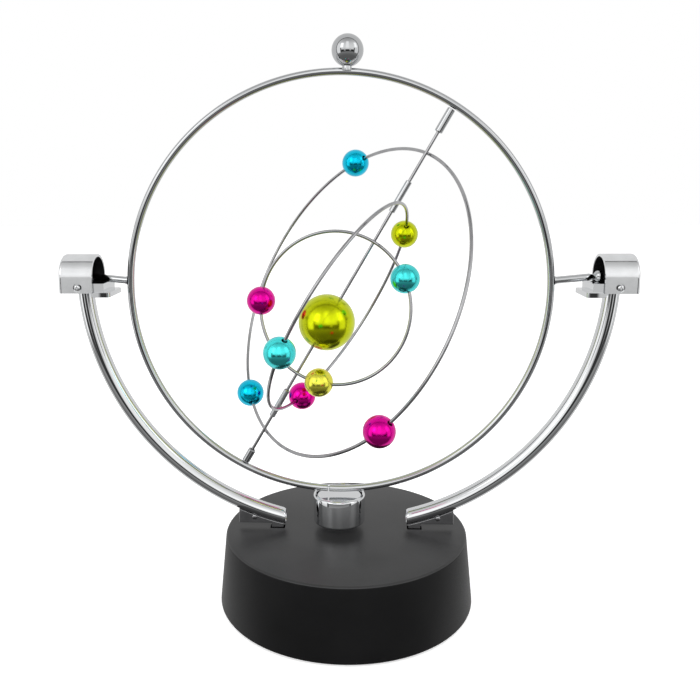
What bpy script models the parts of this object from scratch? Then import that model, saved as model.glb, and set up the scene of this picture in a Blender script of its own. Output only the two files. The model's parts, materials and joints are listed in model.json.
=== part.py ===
"""Kinetic orbit desk toy: a big wire ring rocks on two side pins above a round base.

Three nested wire orbits with coloured beads turn freely inside the ring on one tilted axis.
A coil in the base kicks the magnet in the pod under the ring. Metres, +Z up, floor at z = 0.
"""
from math import asin, cos, pi, radians, sin, sqrt

import bmesh
import bpy
from mathutils import Matrix, Vector

GAP = 0.0003                      # left between touching pieces

# Base
BASE_BOTTOM_R = 0.055
BASE_TOP_R = 0.0522
BASE_TOP_Z = 0.0315
BASE_FLOOR_Z = 0.0015             # lower edge of the shell
BASE_WALL = 0.0025
BASE_EDGE_R = 0.0011              # rounding of the top rim
PLATE_R = 0.0520
PLATE_BOTTOM_Z = 0.0018
PLATE_TOP_Z = 0.0042
BOSS_CIRCLE_R = 0.046
BOSS_R = 0.0032
BOSS_ANGLES = (90, 210, 330)
FOOT_PAD_R = 0.005
FOOT_PAD_CIRCLE_R = 0.045
FOOT_PAD_ANGLES = (25, 155, 235, 305)
FOOT_PAD_EDGE = 0.0004
SCREW_BOSS_TOP_Z = 0.0160         # depth of the bottom screws' holes
SCREW_HOLE_R = 0.0014
SCREW_PASS_R = 0.0019
BOTTOM_SCREW = (0.0028, 0.0009, 0.0011, 0.0140)    # head radius and height, shank radius, length
SMALL_SCREW = (0.0026, 0.0009, 0.0011, 0.0065)
SMALL_PASS_R = 0.0016

# Arms, feet and bearings
HINGE_Z = 0.1425                  # line through the two pin tips
ARM_CENTRE_Z = 0.1433
ARM_ARC_R = 0.1100
ARM_TUBE_R = 0.0033
ARM_TUBE_WALL = 0.0008
ARM_END_X = 0.027                 # inner end of each arm, from the middle
FOOT_OUTER_X = 0.0465
FOOT_STEPS = 7
FOOT_BOTTOM_Z = 0.0336
FOOT_HALF = 0.0012
TAB_OUTER_X = 0.0326
TAB_BOTTOM_Z = 0.0195
CLAMP_SCREW_X = 0.0298
CLAMP_SCREW_Z = 0.0240
CLAMP_SCREW = (0.0027, 0.0016, 0.0012, 0.0115)
SOCKET_BOTTOM_Z = 0.0185
SOCKET_X = (0.0245, 0.0352)
SOCKET_HALF_Y = 0.0055
MOUTH_X = 0.1042                  # inner end of each hood
HOOD_END_X = 0.1182
HOOD_R = 0.00925
HOOD_WALL = 0.0011
HOOD_SKIRT_Z = 0.1363
HOOD_SCREW_X = 0.1102
HOOD_SCREW_Z = 0.1386
HOOD_SCREW = (0.00125, 0.0005, 0.0006, 0.0040)
HOOD_SCREW_HOLE_R = 0.0009
TONGUE_X = (0.0972, 0.1054)       # the plate in front of each hood's mouth
TONGUE_Z = (0.1346, 0.1366)
TONGUE_HALF_Y = 0.0089
SADDLE_X = (0.0999, 0.1155)       # the block that carries the pin's tip
SADDLE_Z = (0.1364, 0.1402)
TROUGH_R = 0.0029
SPIGOT_DEPTH = 0.007

# Swing ring: a wire circle whose middle hangs below the hinge line, slid a little to one side
RING_R = 0.0877
RING_WIRE_R = 0.0015
RING_CENTRE = Vector((-0.0029, 0, 0.1370))
RING_BUTT_DEG = 267.0             # where the wire's two ends meet, over the pod
RING_BUTT_OPENING = 0.35          # degrees from there to each end
RING_KNOTS = 51
PIN_WIRE_R = 0.0015
PIN_BALL_R = 0.0024
PIN_TIP_FROM_CENTRE = 0.1076
PIN_ROOT_Z = 0.1407
TOP_BALL_R = 0.0064
TOP_BALL_SHIFT = 0.0035
POD_R = 0.0112
POD_BOTTOM_Z = 0.0345
POD_RIM_Z = 0.0475
POD_CAP_Z = 0.0468
POD_WALL = 0.0012
POD_EDGE_R = 0.0012
POD_SHOULDER_R = 0.0009
MAGNET_THICK = 0.0060
CAP_THICK = 0.0013

# Tilted axis of the orbits, in the ring's plane, and places along it from its middle
AXIS_TILT = radians(30.1)
AXIS_OFFSET = 0.0026              # the axis passes beside the ring's centre
AXIS_SLEEVE_R = 0.00165
AXIS_SLEEVE_BORE_R = 0.00105
AXIS_SLEEVES = ((0.0754, 0.0857), (-0.0857, -0.0796))
SHAFT_R = 0.00065
STUBS = ((0.0455, 0.0830), (-0.0840, -0.0590))
MIDDLE_SLEEVE_R = 0.0013
MIDDLE_SLEEVE_BORE_R = 0.00095
MIDDLE_SLEEVES = ((0.0385, 0.0527), (-0.0623, -0.0488))
INNER_SHAFT = (-0.0520, 0.0420)
ORBIT_WIRE_R = 0.0007
PLANET_R = 0.00608
PLANET_BORE_R = 0.0013
SUN_R = 0.0119
SUN_PLACE = -0.0148

# Orbit: (radius, middle along the axis, turn about the axis, side offset, slide, beads)
# The side offset is square to the wire's plane and the slide lies in it, across the axis.
# A bead is (name, angle on the wire from the axis's upper end).
OUTER_ORBIT = (0.0679, -0.0018, radians(-57.7), 0.0017, -0.0009,
               (("cyan_1", 318.6), ("cyan_2", 201.8), ("magenta", 116.1)))
MIDDLE_ORBIT = (0.0501, -0.0066, radians(72.0), -0.0023, 0.0003,
                (("lime", 38.4), ("teal", 247.4), ("magenta", 157.2)))
INNER_ORBIT = (0.0321, -0.0078, radians(-12.9), -0.0017, 0.0,
               (("magenta", 244.5), ("teal", 36.6), ("yellow", 161.2)))
ORBIT_STEPS = {"outer": 44, "middle": 38, "inner": 30}
ORBIT_WIRE_SIDES = 8

# Insides of the base
COIL_FLANGE_R = 0.0095
COIL_BOTTOM_Z = 0.0150
COIL_TOP_Z = BASE_TOP_Z - BASE_WALL - GAP
COIL_FLANGE = 0.0012
COIL_CORE_R = 0.0040
COIL_BORE_R = 0.0025
COIL_RECESS = 0.0006              # the winding stops short of the flanges' rim
CELL_R = 0.00725
CELL_HALF = 0.02525
CELL_Z = 0.0121
CELL_YS = (0.0175, 0.0324)
CELL_NIPPLE_R = 0.0027
CELL_NIPPLE = 0.0012
CONTACT_Y = (0.0125, 0.0374)
CONTACT_Z = (0.0060, 0.0165)
CONTACT_THICK = 0.0006
TRAY_X = 0.0285
TRAY_Y = (0.0088, 0.0412)
TRAY_TOP_Z = 0.0140
TRAY_WALL = 0.0012
DOOR_HALF_X = 0.0277
DOOR_Y = (0.0103, 0.0395)
DOOR_TAB_X = 0.0347               # the tab under the door's screw reaches out to here
DOOR_TAB_Y = (0.0205, 0.0293)
DOOR_TOP_Z = 0.0027
DOOR_SCREW = (0.0312, 0.0249)
DOOR_BOSS_R = 0.0030
DOOR_BOSS_TOP_Z = 0.0100
BOARD_HALF_X = 0.0250
BOARD_Y = (-0.0400, -0.0140)
BOARD_Z = (0.0080, 0.0096)
BOARD_POSTS = ((-0.021, -0.018), (0.021, -0.018), (0.0, -0.037))
BOARD_POST_R = 0.0024
BOARD_PEG_R = 0.0011
BOARD_PEG_HOLE_R = 0.0015
CAPACITOR_PLACE = (-0.012, -0.028)
CAPACITOR_R = 0.0032
CAPACITOR_TOP_Z = 0.0209
TRANSISTOR_PLACE = (0.009, -0.024)
TRANSISTOR_R = 0.0023

for item in list(bpy.data.objects):
    bpy.data.objects.remove(item, do_unlink=True)

parts = bpy.data.collections.new("kinetic_orrery")
cutters = bpy.data.collections.new("cutters")
bpy.context.scene.collection.children.link(parts)
bpy.context.scene.collection.children.link(cutters)


# ---------------------------------------------------------------- materials

def material(name, colour, roughness, metallic):
    """A Principled material with one colour."""
    made = bpy.data.materials.new(name)
    made.use_nodes = True
    shader = made.node_tree.nodes["Principled BSDF"]
    shader.inputs["Base Color"].default_value = (*colour, 1.0)
    shader.inputs["Roughness"].default_value = roughness
    shader.inputs["Metallic"].default_value = metallic
    return made


CHROME = material("chrome", (0.82, 0.83, 0.85), 0.08, 1.0)
STEEL = material("steel", (0.55, 0.55, 0.56), 0.30, 1.0)
BLACK_PLASTIC = material("black_plastic", (0.018, 0.018, 0.019), 0.45, 0.0)
RUBBER = material("rubber", (0.025, 0.025, 0.025), 0.85, 0.0)
COPPER = material("copper", (0.75, 0.30, 0.12), 0.30, 1.0)
NYLON = material("nylon", (0.70, 0.68, 0.62), 0.50, 0.0)
GREEN_BOARD = material("green_board", (0.02, 0.16, 0.06), 0.40, 0.0)
CELL_WRAP = material("cell_wrap", (0.05, 0.10, 0.30), 0.35, 0.0)
NICKEL = material("nickel", (0.66, 0.62, 0.55), 0.22, 1.0)
BEAD = {
    "cyan_1": material("cyan_bead", (0.00, 0.36, 0.60), 0.12, 0.9),
    "magenta": material("magenta_bead", (0.62, 0.00, 0.26), 0.12, 0.9),
    "teal": material("teal_bead", (0.05, 0.62, 0.62), 0.12, 0.9),
    "lime": material("lime_bead", (0.42, 0.48, 0.01), 0.12, 0.9),
    "yellow": material("yellow_bead", (0.80, 0.66, 0.05), 0.12, 0.9),
}
BEAD["cyan_2"] = BEAD["cyan_1"]


# ---------------------------------------------------------------- building helpers

def add(name, mesh, look=None, parent=None, place=None):
    """Put a mesh in the parts collection, or among the cutters when it has no material."""
    made = bpy.data.objects.new(name, mesh)
    made.parent = parent
    if place is not None:
        made.matrix_basis = place
    if look is None:
        made.hide_render = True
        made.display_type = 'WIRE'
        cutters.objects.link(made)
    else:
        mesh.materials.append(look)
        parts.objects.link(made)
    return made


def frame(name, place, parent=None):
    """An empty that carries a moving body's pieces, with its origin on the joint's axis."""
    made = bpy.data.objects.new(name, None)
    made.parent = parent
    made.matrix_basis = place
    made.empty_display_size = 0.02
    parts.objects.link(made)
    return made


def smooth(mesh, angle=35):
    mesh.shade_smooth()
    mesh.set_sharp_from_angle(angle=radians(angle))


def box_mesh(name, low, high):
    """A box between two corners."""
    low, high = Vector(low), Vector(high)
    shape = bmesh.new()
    bmesh.ops.create_cube(shape, size=1.0)
    bmesh.ops.scale(shape, vec=high - low, verts=shape.verts)
    bmesh.ops.translate(shape, vec=(high + low) / 2, verts=shape.verts)
    mesh = bpy.data.meshes.new(name)
    shape.to_mesh(mesh)
    shape.free()
    return mesh


def rod_mesh(name, radius, start, end, sides=16):
    """A straight round rod between two points."""
    start, end = Vector(start), Vector(end)
    turn = (end - start).to_track_quat('Z', 'Y').to_matrix().to_4x4()
    shape = bmesh.new()
    bmesh.ops.create_cone(shape, cap_ends=True, segments=sides, radius1=radius, radius2=radius,
                          depth=(end - start).length,
                          matrix=Matrix.Translation((start + end) / 2) @ turn)
    mesh = bpy.data.meshes.new(name)
    shape.to_mesh(mesh)
    shape.free()
    smooth(mesh)
    return mesh


def ball_mesh(name, radius, around, rings):
    shape = bmesh.new()
    bmesh.ops.create_uvsphere(shape, u_segments=around, v_segments=rings, radius=radius)
    mesh = bpy.data.meshes.new(name)
    shape.to_mesh(mesh)
    shape.free()
    mesh.shade_smooth()
    return mesh


def welded(curve_object):
    """The curve's evaluated surface as a mesh with its caps welded; the curve is removed."""
    bpy.context.view_layer.update()
    seen = curve_object.evaluated_get(bpy.context.evaluated_depsgraph_get())
    mesh = bpy.data.meshes.new_from_object(seen)
    shape = bmesh.new()
    shape.from_mesh(mesh)
    bmesh.ops.remove_doubles(shape, verts=shape.verts, dist=0.000005)
    shape.to_mesh(mesh)
    shape.free()
    mesh.materials.clear()
    mesh.transform(curve_object.matrix_world)
    bpy.data.objects.remove(curve_object, do_unlink=True)
    smooth(mesh, 40)
    return mesh


def wire_mesh(name, points, radius, caps=True, resolution=2):
    """A round wire along the points."""
    curve = bpy.data.curves.new(name, 'CURVE')
    curve.dimensions = '3D'
    curve.bevel_depth = radius
    curve.bevel_resolution = resolution
    curve.use_fill_caps = caps
    line = curve.splines.new('POLY')
    line.points.add(len(points) - 1)
    for knot, point in zip(line.points, points):
        knot.co = (*point, 1.0)
    made = bpy.data.objects.new(name, curve)
    parts.objects.link(made)
    return welded(made)


def outline_mesh(name, points, half, turn):
    """A flat outline of the given half thickness, turned into place."""
    curve = bpy.data.curves.new(name, 'CURVE')
    curve.dimensions = '2D'
    curve.fill_mode = 'BOTH'
    curve.extrude = half
    line = curve.splines.new('POLY')
    line.points.add(len(points) - 1)
    for knot, (across, up) in zip(line.points, points):
        knot.co = (across, up, 0.0, 1.0)
    line.use_cyclic_u = True
    made = bpy.data.objects.new(name, curve)
    parts.objects.link(made)
    mesh = welded(made)
    mesh.transform(turn)
    return mesh


def turned(name, profile, look, parent=None, place=None, steps=32, ring=False):
    """A profile of (radius, height) turned about Z; it runs down its outer side."""
    mesh = bpy.data.meshes.new(name)
    count = len(profile)
    edges = [(i, i + 1) for i in range(count - 1)]
    if ring:
        edges.append((count - 1, 0))
    mesh.from_pydata([(r, 0.0, z) for r, z in profile], edges, [])
    made = add(name, mesh, look, parent, place)
    screw = made.modifiers.new("turn", 'SCREW')
    screw.axis = 'Z'
    screw.angle = 2 * pi
    screw.steps = steps
    screw.render_steps = steps
    screw.use_merge_vertices = True
    screw.merge_threshold = 0.00001
    screw.use_smooth_shade = True
    return made


def tube_profile(outer, bore, low, high):
    return [(outer, high), (outer, low), (bore, low), (bore, high)]


def cut(target, mesh, operation='DIFFERENCE'):
    """Boolean of a target with a mesh given in the target's own frame."""
    cutter = add(f"{target.name}_{operation.lower()}_{len(target.modifiers)}", mesh,
                 parent=target.parent, place=target.matrix_basis.copy())
    step = target.modifiers.new(operation.title(), 'BOOLEAN')
    step.operation = operation
    step.solver = 'EXACT'
    step.object = cutter


def arc(centre, radius, start, end, count):
    """Points on an arc in a plane, angles in degrees."""
    turns = [radians(start + (end - start) * i / (count - 1)) for i in range(count)]
    return [(centre[0] + radius * cos(a), centre[1] + radius * sin(a)) for a in turns]


def around_z(radius, degrees):
    return radius * cos(radians(degrees)), radius * sin(radians(degrees))


# ---------------------------------------------------------------- base

def base_shell():
    """The black drum: closed on top, open below, with a slot for each arm's tab."""
    rim = arc((BASE_TOP_R - BASE_EDGE_R, BASE_TOP_Z - BASE_EDGE_R), BASE_EDGE_R, 90, 0, 4)
    inner_top = BASE_TOP_R - BASE_WALL - 0.0004
    profile = [(0.0, BASE_TOP_Z)] + rim + [
        (BASE_BOTTOM_R, BASE_FLOOR_Z + 0.0008),
        (BASE_BOTTOM_R - 0.0008, BASE_FLOOR_Z),
        (BASE_BOTTOM_R - BASE_WALL, BASE_FLOOR_Z),
        (inner_top, BASE_TOP_Z - BASE_WALL),
        (0.0, BASE_TOP_Z - BASE_WALL)]
    shell = turned("base_shell", profile, BLACK_PLASTIC, steps=48)
    for degrees in BOSS_ANGLES:
        x, y = around_z(BOSS_CIRCLE_R, degrees)
        top = BASE_TOP_Z - BASE_WALL / 2
        cut(shell, rod_mesh("boss", BOSS_R, (x, y, PLATE_TOP_Z + GAP), (x, y, top), 12), 'UNION')
        cut(shell, rod_mesh("hole", SCREW_HOLE_R, (x, y, PLATE_TOP_Z - 0.001),
                            (x, y, SCREW_BOSS_TOP_Z), 10))
    for side in (-1, 1):
        tab_socket(shell, side)


def tab_socket(shell, side):
    """The boss under the base's top that grips one arm's tab, with its slot and cross hole."""
    xs = sorted((side * SOCKET_X[0], side * SOCKET_X[1]))
    cut(shell, box_mesh("boss", (xs[0], -SOCKET_HALF_Y, SOCKET_BOTTOM_Z),
                        (xs[1], SOCKET_HALF_Y, BASE_TOP_Z - BASE_WALL / 2)), 'UNION')
    xs = sorted((side * (ARM_END_X - 0.0002), side * (TAB_OUTER_X + 0.0004)))
    cut(shell, box_mesh("slot", (xs[0], -FOOT_HALF - 0.0004, SOCKET_BOTTOM_Z - 0.002),
                        (xs[1], FOOT_HALF + 0.0004, BASE_TOP_Z + 0.002)))
    x = side * CLAMP_SCREW_X
    beyond = SOCKET_HALF_Y + 0.002
    cut(shell, rod_mesh("hole", SMALL_PASS_R, (x, -beyond, CLAMP_SCREW_Z), (x, beyond, CLAMP_SCREW_Z), 12))


def door_outline(grow=0.0):
    """The battery door seen from above: a rectangle with a tab for its screw."""
    across, tab = DOOR_HALF_X + grow, DOOR_TAB_X + grow
    front, back = DOOR_Y[0] - grow, DOOR_Y[1] + grow
    tab_front, tab_back = DOOR_TAB_Y[0] - grow, DOOR_TAB_Y[1] + grow
    return [(-across, front), (across, front), (across, tab_front), (tab, tab_front),
            (tab, tab_back), (across, tab_back), (across, back), (-across, back)]


def bottom_plate():
    """The plate that closes the base, with the battery tray and the posts of the board."""
    plate = turned("bottom_plate", [(0.0, PLATE_TOP_Z), (PLATE_R, PLATE_TOP_Z),
                                    (PLATE_R, PLATE_BOTTOM_Z), (0.0, PLATE_BOTTOM_Z)],
                   BLACK_PLASTIC, steps=48)
    low = PLATE_TOP_Z - 0.001
    cut(plate, box_mesh("tray", (-TRAY_X, TRAY_Y[0], low), (TRAY_X, TRAY_Y[1], TRAY_TOP_Z)), 'UNION')
    cut(plate, box_mesh("room", (TRAY_WALL - TRAY_X, TRAY_Y[0] + TRAY_WALL, -0.001),
                        (TRAY_X - TRAY_WALL, TRAY_Y[1] - TRAY_WALL, TRAY_TOP_Z + 0.001)))
    x, y = DOOR_SCREW
    cut(plate, rod_mesh("door_boss", DOOR_BOSS_R, (x, y, low), (x, y, DOOR_BOSS_TOP_Z), 12), 'UNION')
    cut(plate, rod_mesh("door_hole", SCREW_HOLE_R, (x, y, 0.0), (x, y, DOOR_BOSS_TOP_Z - 0.0015), 10))
    cut(plate, outline_mesh("door_seat", door_outline(GAP), 0.0012,
                            Matrix.Translation((0, 0, DOOR_TOP_Z + GAP - 0.0012))))
    for x, y in BOARD_POSTS:
        cut(plate, rod_mesh("post", BOARD_POST_R, (x, y, low), (x, y, BOARD_Z[0] - GAP), 10), 'UNION')
        cut(plate, rod_mesh("peg", BOARD_PEG_R, (x, y, low), (x, y, BOARD_Z[1] + 0.001), 8), 'UNION')
    for degrees in BOSS_ANGLES:
        x, y = around_z(BOSS_CIRCLE_R, degrees)
        cut(plate, rod_mesh("hole", SCREW_PASS_R, (x, y, 0.0), (x, y, PLATE_TOP_Z + 0.002), 10))


def screw(name, size, look, place):
    """A plain pan-head screw along +Z: its head reaches from 0 to -head, its shank to tip."""
    head_r, head, shank_r, tip = size
    profile = [(0.0, tip), (shank_r, tip), (shank_r, 0.0), (head_r, 0.0),
               (head_r, -head * 0.6), (head_r * 0.75, -head), (0.0, -head)]
    return turned(name, profile, look, place=place, steps=12)


def base_fasteners():
    for number, degrees in enumerate(BOSS_ANGLES, 1):
        x, y = around_z(BOSS_CIRCLE_R, degrees)
        screw(f"bottom_screw_{number}", BOTTOM_SCREW, STEEL,
              Matrix.Translation((x, y, PLATE_BOTTOM_Z - GAP)))
    for number, degrees in enumerate(FOOT_PAD_ANGLES, 1):
        x, y = around_z(FOOT_PAD_CIRCLE_R, degrees)
        high = PLATE_BOTTOM_Z - GAP
        turned(f"rubber_foot_{number}", [(0.0, high), (FOOT_PAD_R, high),
                                         (FOOT_PAD_R, FOOT_PAD_EDGE),
                                         (FOOT_PAD_R - FOOT_PAD_EDGE, 0.0), (0.0, 0.0)],
               RUBBER, place=Matrix.Translation((x, y, 0)), steps=16)
    half = (DOOR_TOP_Z - PLATE_BOTTOM_Z) / 2
    door = add("battery_door", outline_mesh("battery_door", door_outline(), half,
                                            Matrix.Translation((0, 0, PLATE_BOTTOM_Z + half))),
               BLACK_PLASTIC)
    x, y = DOOR_SCREW
    cut(door, rod_mesh("hole", SMALL_PASS_R, (x, y, 0.0), (x, y, DOOR_TOP_Z + 0.002), 10))
    screw("battery_door_screw", SMALL_SCREW, STEEL, Matrix.Translation((x, y, PLATE_BOTTOM_Z - GAP)))


def coil():
    """The drive coil, hung under the middle of the base's top."""
    upper, lower = COIL_TOP_Z - COIL_FLANGE, COIL_BOTTOM_Z + COIL_FLANGE
    turned("coil_bobbin", [(COIL_FLANGE_R, COIL_TOP_Z), (COIL_FLANGE_R, upper), (COIL_CORE_R, upper),
                           (COIL_CORE_R, lower), (COIL_FLANGE_R, lower), (COIL_FLANGE_R, COIL_BOTTOM_Z),
                           (COIL_BORE_R, COIL_BOTTOM_Z), (COIL_BORE_R, COIL_TOP_Z)],
           NYLON, steps=24, ring=True)
    turned("coil_winding", tube_profile(COIL_FLANGE_R - COIL_RECESS, COIL_CORE_R + GAP,
                                        lower + GAP, upper - GAP), COPPER, steps=24, ring=True)


def circuit():
    """The board that feels the magnet pass and fires the coil."""
    board = add("circuit_board", box_mesh("circuit_board", (-BOARD_HALF_X, BOARD_Y[0], BOARD_Z[0]),
                                          (BOARD_HALF_X, BOARD_Y[1], BOARD_Z[1])), GREEN_BOARD)
    for x, y in BOARD_POSTS:
        cut(board, rod_mesh("peg_hole", BOARD_PEG_HOLE_R, (x, y, BOARD_Z[0] - 0.003),
                            (x, y, BOARD_Z[1] + 0.003), 10))
    high = BOARD_Z[1] + GAP
    x, y = CAPACITOR_PLACE
    add("capacitor", rod_mesh("capacitor", CAPACITOR_R, (x, y, high), (x, y, CAPACITOR_TOP_Z), 16), STEEL)
    body = arc((0.0, 0.0), TRANSISTOR_R, -20, 200, 9)
    x, y = TRANSISTOR_PLACE
    add("transistor", outline_mesh("transistor", body, TRANSISTOR_R,
                                   Matrix.Translation((x, y, high + TRANSISTOR_R))), BLACK_PLASTIC)


def cells():
    """Two AA size cells side by side, nipples opposite ways, and the contacts at their ends."""
    for number, y in enumerate(CELL_YS, 1):
        sign = 1 if number == 1 else -1
        turn = Matrix.Translation((0, y, CELL_Z)) @ Matrix.Rotation(sign * pi / 2, 4, 'Y')
        shoulder = CELL_HALF - CELL_NIPPLE
        turned(f"battery_cell_{number}",
               [(0.0, CELL_HALF), (CELL_NIPPLE_R, CELL_HALF), (CELL_NIPPLE_R, shoulder),
                (CELL_R, shoulder - 0.0002), (CELL_R, -CELL_HALF), (0.0, -CELL_HALF)],
               CELL_WRAP, place=turn, steps=20)
    near = CELL_HALF + GAP
    for name, side in (("left", -1), ("right", 1)):
        xs = sorted((side * near, side * (near + CONTACT_THICK)))
        add(f"battery_contact_{name}", box_mesh("contact", (xs[0], CONTACT_Y[0], CONTACT_Z[0]),
                                                (xs[1], CONTACT_Y[1], CONTACT_Z[1])), NICKEL)


# ---------------------------------------------------------------- arms and bearings

def arm_point(turn):
    """Point of the arm's middle line, turn measured from straight down."""
    return Vector((ARM_ARC_R * sin(turn), 0, ARM_CENTRE_Z - ARM_ARC_R * cos(turn)))


def arm_under_z(x):
    """Height of the tube's underside, less the gap, at a distance x from the middle."""
    turn = asin(x / ARM_ARC_R)
    return ARM_CENTRE_Z - ARM_ARC_R * cos(turn) - (ARM_TUBE_R + GAP) / cos(turn)


def arms():
    """Two chrome tubes bent to one arc, each on a foot plate whose tab goes into the base."""
    first = asin(ARM_END_X / ARM_ARC_R)
    last = pi / 2 - asin((ARM_CENTRE_Z - (SADDLE_Z[0] - 2 * GAP)) / ARM_ARC_R)
    count = 17
    for name, side in (("left", -1), ("right", 1)):
        turns = [side * (first + (last - first) * i / (count - 1)) for i in range(count)]
        tube = add(f"arm_{name}", wire_mesh(f"arm_{name}", [arm_point(t) for t in turns],
                                            ARM_TUBE_R, caps=False), CHROME)
        wall = tube.modifiers.new("tube wall", 'SOLIDIFY')
        wall.thickness = ARM_TUBE_WALL
        wall.offset = -1.0
        arm_foot(name, side)
        arm_screw(name, side)
        bearing(name, side)


def arm_foot(name, side):
    """The plate welded under the tube's low end, with the tab that hangs into the base."""
    span = FOOT_OUTER_X - ARM_END_X
    xs = [ARM_END_X + GAP + span * i / (FOOT_STEPS - 1) for i in range(FOOT_STEPS)]
    outline = [(x, arm_under_z(x)) for x in xs]
    outline += [(xs[-1], FOOT_BOTTOM_Z), (TAB_OUTER_X, FOOT_BOTTOM_Z), (TAB_OUTER_X, TAB_BOTTOM_Z),
                (xs[0], TAB_BOTTOM_Z)]
    outline = [(side * x, z) for x, z in outline]
    foot = add(f"arm_foot_{name}",
               outline_mesh(f"arm_foot_{name}", outline, FOOT_HALF, Matrix.Rotation(pi / 2, 4, 'X')), CHROME)
    x, beyond = side * CLAMP_SCREW_X, FOOT_HALF + 0.002
    cut(foot, rod_mesh("hole", SMALL_PASS_R, (x, -beyond, CLAMP_SCREW_Z), (x, beyond, CLAMP_SCREW_Z), 12))


def arm_screw(name, side):
    """The screw across the boss and the tab, inside the base."""
    x = side * CLAMP_SCREW_X
    turn = Matrix.Translation((x, -SOCKET_HALF_Y - GAP, CLAMP_SCREW_Z)) @ Matrix.Rotation(-pi / 2, 4, 'X')
    screw(f"arm_screw_{name}", CLAMP_SCREW, STEEL, turn)


def bearing(name, side):
    """The block that carries the pin in a trough, its tongue, and the hood over it."""
    xs = sorted((side * SADDLE_X[0], side * SADDLE_X[1]))
    inside = HOOD_R - HOOD_WALL - GAP
    block = add(f"bearing_block_{name}", box_mesh("saddle", (xs[0], -inside, SADDLE_Z[0]),
                                                  (xs[1], inside, SADDLE_Z[1])), CHROME)
    for half, end in ((TONGUE_HALF_Y, MOUTH_X - GAP), (inside, TONGUE_X[1])):
        span = sorted((side * TONGUE_X[0], side * end))
        cut(block, box_mesh("tongue", (span[0], -half, TONGUE_Z[0]), (span[1], half, TONGUE_Z[1])), 'UNION')
    cut(block, rod_mesh("trough", TROUGH_R, (xs[0] - 0.002, 0, HINGE_Z), (xs[1] + 0.002, 0, HINGE_Z), 20))
    top = arm_point(side * (pi / 2 - asin((ARM_CENTRE_Z - SADDLE_Z[0]) / ARM_ARC_R)))
    below = arm_point(side * (pi / 2 - asin((ARM_CENTRE_Z - SADDLE_Z[0] + SPIGOT_DEPTH) / ARM_ARC_R)))
    up = (top - below).normalized()
    spigot = ARM_TUBE_R - ARM_TUBE_WALL - 0.0005
    cut(block, rod_mesh("spigot", spigot, below, top + 0.001 * up, 12), 'UNION')
    hole_x = side * HOOD_SCREW_X
    cut(block, rod_mesh("hole", HOOD_SCREW_HOLE_R, (hole_x, -inside - 0.002, HOOD_SCREW_Z),
                        (hole_x, -inside + 0.004, HOOD_SCREW_Z), 10))
    hood(name, side, inside)


def arch(radius, skirt):
    """Half circle about the hinge line with straight skirts, across Y and up Z."""
    return arc((0.0, HINGE_Z), radius, 0, 180, 15) + [(-radius, skirt), (radius, skirt)]


def hood(name, side, inside):
    """The inverted U cover: open towards the ring and below, closed at its outer end."""
    onto_yz = Matrix(((0, 0, 1, 0), (1, 0, 0, 0), (0, 1, 0, 0), (0, 0, 0, 1)))
    middle = side * (MOUTH_X + HOOD_END_X) / 2
    half = (HOOD_END_X - MOUTH_X) / 2
    cover = add(f"bearing_hood_{name}",
                outline_mesh("hood", arch(HOOD_R, HOOD_SKIRT_Z), half,
                             Matrix.Translation((middle, 0, 0)) @ onto_yz), CHROME)
    shift = -side * HOOD_WALL
    cut(cover, outline_mesh("hollow", arch(HOOD_R - HOOD_WALL, HOOD_SKIRT_Z - 0.003), half,
                            Matrix.Translation((middle + shift, 0, 0)) @ onto_yz))
    x = side * HOOD_SCREW_X
    cut(cover, rod_mesh("hole", HOOD_SCREW_HOLE_R, (x, -HOOD_R - 0.002, HOOD_SCREW_Z),
                        (x, -inside + 0.002, HOOD_SCREW_Z), 10))
    turn = Matrix.Translation((x, -HOOD_R - GAP, HOOD_SCREW_Z)) @ Matrix.Rotation(-pi / 2, 4, 'X')
    screw(f"hood_screw_{name}", HOOD_SCREW, CHROME, turn)


# ---------------------------------------------------------------- swing ring

def ring_point(degrees, radius=RING_R):
    """Point of the ring's middle line, angle counted from +X towards +Z."""
    return RING_CENTRE + Vector((radius * cos(radians(degrees)), 0, radius * sin(radians(degrees))))


def swing_ring(carrier):
    """The open wire circle, its pins, the ball on top and the pod below."""
    home = carrier.matrix_basis.inverted()
    span = 360 - 2 * RING_BUTT_OPENING
    turns = [RING_BUTT_DEG + RING_BUTT_OPENING + span * i / (RING_KNOTS - 1) for i in range(RING_KNOTS)]
    add("swing_ring", wire_mesh("swing_ring", [ring_point(t) for t in turns], RING_WIRE_R),
        CHROME, carrier, home)
    for name, side in (("left", -1), ("right", 1)):
        ring_pin(name, side, carrier, home)
    top = ring_point(90) + Vector((TOP_BALL_SHIFT, 0, RING_WIRE_R + GAP + TOP_BALL_R))
    add("top_ball", ball_mesh("top_ball", TOP_BALL_R, 20, 12), CHROME, carrier,
        home @ Matrix.Translation(top))
    pod(carrier, home)


def ring_pin(name, side, carrier, home):
    """A wire from the ring's side up to the hinge line, with a ball at its tip."""
    rise = PIN_ROOT_Z - RING_CENTRE.z
    root = sqrt(RING_R ** 2 - rise ** 2) + RING_WIRE_R + GAP
    start = RING_CENTRE + Vector((side * root, 0, rise))
    tip = Vector((RING_CENTRE.x + side * PIN_TIP_FROM_CENTRE, 0, HINGE_Z))
    along = (tip - start).normalized()
    pin = add(f"ring_pin_{name}", rod_mesh("pin", PIN_WIRE_R, start, tip, 12), CHROME, carrier, home)
    tip_ball = ball_mesh("tip", PIN_BALL_R, 14, 8)
    tip_ball.transform(Matrix.Translation(tip - 0.0002 * along))
    cut(pin, tip_ball, 'UNION')


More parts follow.
